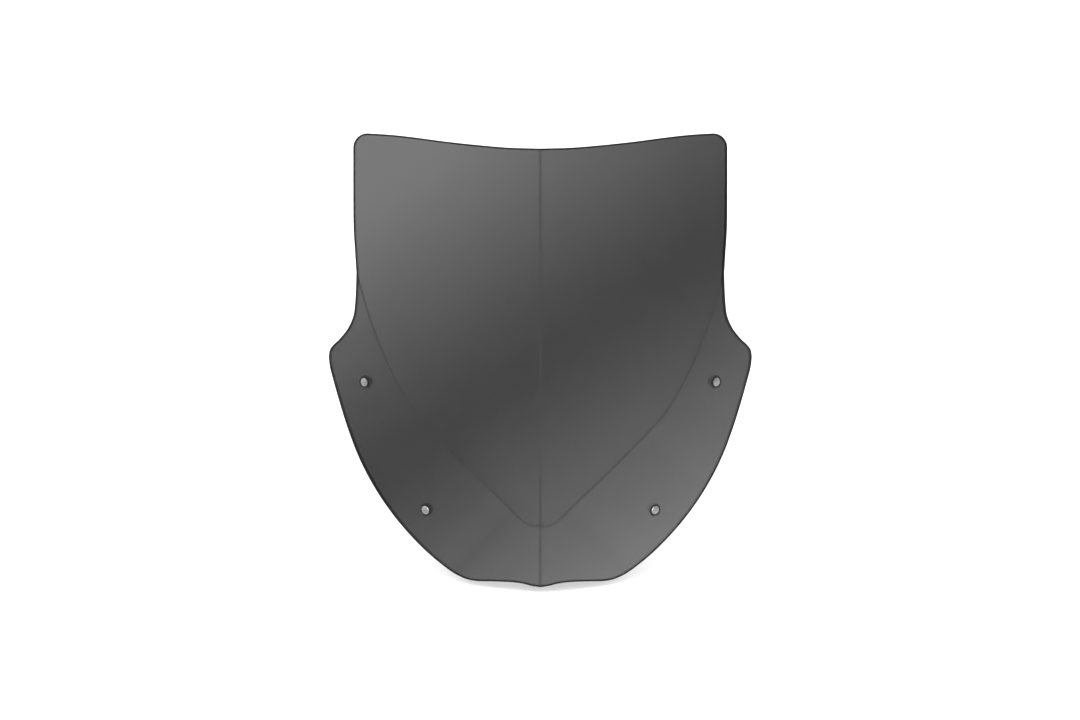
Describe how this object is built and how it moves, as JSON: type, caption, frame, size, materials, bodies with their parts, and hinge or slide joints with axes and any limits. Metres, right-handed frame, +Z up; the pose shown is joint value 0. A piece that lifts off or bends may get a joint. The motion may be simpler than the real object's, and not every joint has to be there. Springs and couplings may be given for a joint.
{
  "type": "motorcycle windshield screen",
  "caption": "Smoked acrylic motorcycle windshield screen with a centre ridge, a folded lower skirt, swept wing tips and open fixing holes in sleeved rubber bushes.",
  "frame": {"origin": "the middle of the four fixing holes, taken where each hole meets the front face of the sheet", "axes": "+X to the right as seen from the front, across the motorcycle; +Y toward the rider, so the front face looks along -Y; +Z up, with the sheet leaning back 19 degrees from upright"},
  "size_m": [0.27, 0.1158, 0.2703],
  "materials": {
    "smoked_acrylic": "dark smoked transparent acrylic, polished faces and flame-polished edges",
    "bush_rubber": "matte black moulded rubber",
    "sleeve_steel": "zinc-plated steel, dull"
  },
  "bodies": {
    "root": {"screen": "smoked_acrylic", "bush_upper_left": "bush_rubber", "bush_upper_right": "bush_rubber", "bush_lower_left": "bush_rubber", "bush_lower_right": "bush_rubber", "sleeve_upper_left": "sleeve_steel", "sleeve_upper_right": "sleeve_steel", "sleeve_lower_left": "sleeve_steel", "sleeve_lower_right": "sleeve_steel"}
  },
  "joints": []
}
